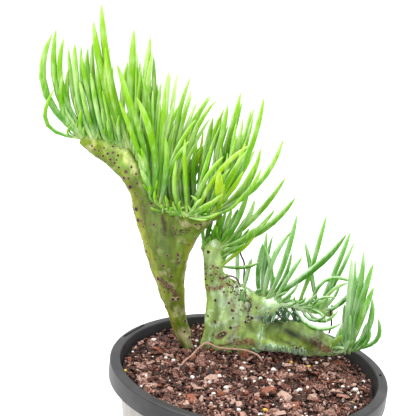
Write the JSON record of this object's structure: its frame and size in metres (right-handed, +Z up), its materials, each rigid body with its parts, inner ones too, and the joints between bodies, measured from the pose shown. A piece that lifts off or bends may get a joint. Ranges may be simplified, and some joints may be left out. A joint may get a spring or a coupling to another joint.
{
  "type": "potted crested chalk sticks",
  "caption": "Potted succulent: a leaning trunk that fans into a crest of long finger leaves beside a short fanned stem with its own combs of leaves, in a round plastic nursery pot of bark mix.",
  "frame": {"origin": "centre of the pot's flat underside", "axes": "+Z up along the pot's axis, -Y toward the plant's front, +X to the right of someone who looks at the front"},
  "size_m": [0.2264, 0.165, 0.3182],
  "materials": {
    "pot_plastic": "satin charcoal",
    "bark_mix": "rough reddish-brown bark chips with white perlite",
    "olive_stem": "waxy olive green skin with brown leaf scars",
    "lime_leaf": "waxy lime green",
    "pale_stem": "pale grey-green skin with brown crusts",
    "green_leaf": "waxy mid green",
    "dry_root": "dry pinkish tan"
  },
  "bodies": {
    "root": {"nursery_pot": "pot_plastic", "potting_mix": "bark_mix", "tall_stem": "olive_stem", "tall_crown": "lime_leaf", "short_stem": "pale_stem", "upper_crown": "green_leaf", "low_crown": "green_leaf", "rim_crown": "green_leaf", "surface_root": "dry_root"}
  },
  "joints": []
}
